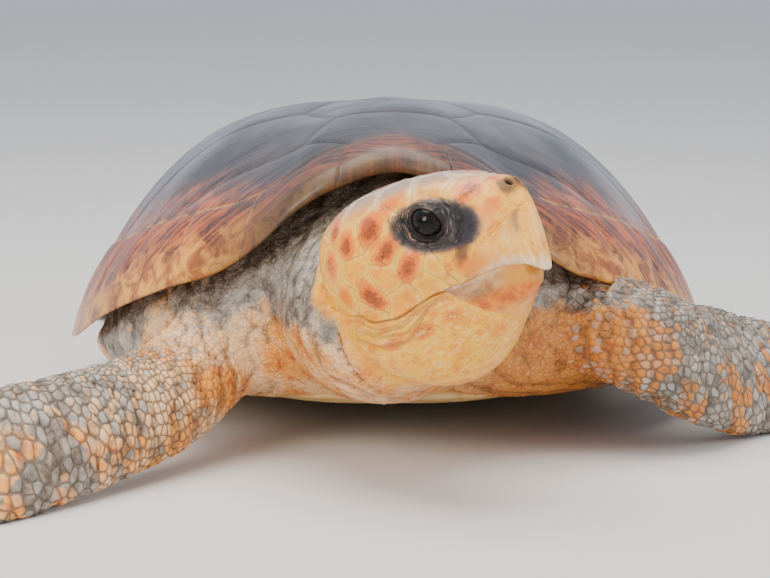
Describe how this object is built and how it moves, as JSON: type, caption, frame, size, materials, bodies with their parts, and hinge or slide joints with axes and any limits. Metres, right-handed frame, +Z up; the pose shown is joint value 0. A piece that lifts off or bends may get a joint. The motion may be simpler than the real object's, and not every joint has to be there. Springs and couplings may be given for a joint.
{
  "type": "loggerhead turtle",
  "caption": "Life-size still model of an adult female loggerhead sea turtle resting on its plastron, head raised and turned to its left, front flippers braced.",
  "frame": {"origin": "on the floor, under the middle of the whole model's box", "axes": "+Z up; the turtle faces -Y, along its shell's length; +X to its own left"},
  "size_m": [1.2545, 1.4282, 0.3657],
  "materials": {
    "skin": "wrinkled, satin",
    "shell_horn": "wet, glossy horn",
    "plastron_horn": "satin horn",
    "head_skin": "hard scales, satin",
    "beak_horn": "smooth horn",
    "eye": "wet gloss",
    "claw_horn": "smooth horn"
  },
  "bodies": {
    "root": {"carapace": "shell_horn", "eye_left": "eye", "eye_right": "eye", "front_arm_left": "skin", "front_arm_right": "skin", "front_blade_left": "skin", "front_blade_right": "skin", "front_claw_left_1": "claw_horn", "front_claw_left_2": "claw_horn", "front_claw_right_1": "claw_horn", "front_claw_right_2": "claw_horn", "head": "head_skin", "hind_claw_left_1": "claw_horn", "hind_claw_left_2": "claw_horn", "hind_claw_right_1": "claw_horn", "hind_claw_right_2": "claw_horn", "hind_flipper_left": "skin", "hind_flipper_right": "skin", "jaw": "head_skin", "lower_beak": "beak_horn", "neck": "skin", "plastron": "plastron_horn", "tail": "skin", "trunk": "skin", "upper_beak": "beak_horn"}
  },
  "joints": []
}
